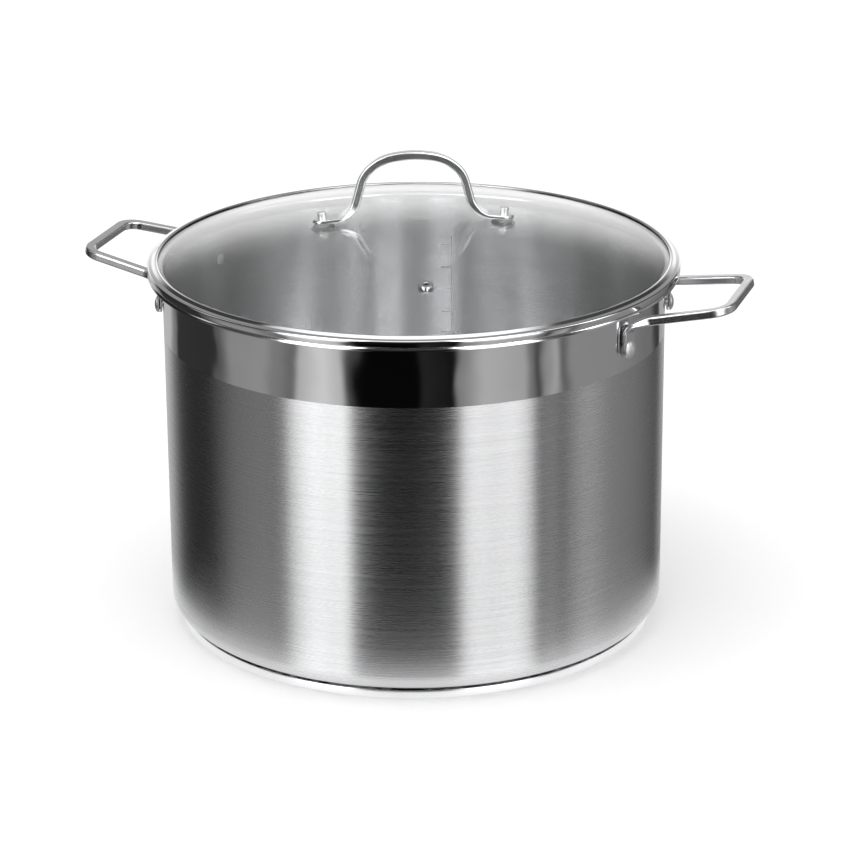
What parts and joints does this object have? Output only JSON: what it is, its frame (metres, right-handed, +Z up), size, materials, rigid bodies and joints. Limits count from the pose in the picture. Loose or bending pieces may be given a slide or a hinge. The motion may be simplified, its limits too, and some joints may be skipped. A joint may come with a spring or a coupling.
{
  "type": "stock pot",
  "caption": "Wide stainless steel stock pot with square-bar loop handles and a lift-off domed glass lid with a steel ring and arched handle.",
  "frame": {"origin": "centre of the underside of the base, where the pot stands", "axes": "+Z up along the pot's axis; the two side handles lie along X; the lid handle is turned 22.2 degrees about Z from X"},
  "size_m": [0.4014, 0.3152, 0.2863],
  "materials": {
    "satin_steel": "satin",
    "polished_steel": "polished",
    "core_aluminium": "satin",
    "clear_glass": "polished",
    "clear_silicone": "satin"
  },
  "bodies": {
    "pot": {"pot_shell": "satin_steel", "base_core": "core_aluminium", "base_capsule": "satin_steel", "side_handle_right": "polished_steel", "side_handle_left": "polished_steel", "handle_rivet_right_back": "polished_steel", "handle_rivet_right_front": "polished_steel", "handle_rivet_left_back": "polished_steel", "handle_rivet_left_front": "polished_steel"},
    "lid": {"lid_glass": "clear_glass", "lid_rim": "polished_steel", "lid_handle": "polished_steel", "lid_rivet_right": "polished_steel", "lid_rivet_left": "polished_steel", "lid_grommet_right": "clear_silicone", "lid_grommet_left": "clear_silicone", "lid_seal_right": "clear_silicone", "lid_seal_left": "clear_silicone", "lid_washer_right": "polished_steel", "lid_washer_left": "polished_steel", "vent_eyelet": "polished_steel", "vent_washer": "polished_steel"}
  },
  "joints": [
    {"name": "lid_lift", "type": "slide", "parent": "pot", "child": "lid", "axis": [0, 0, 1], "range_m": [0, 0.15]}
  ]
}
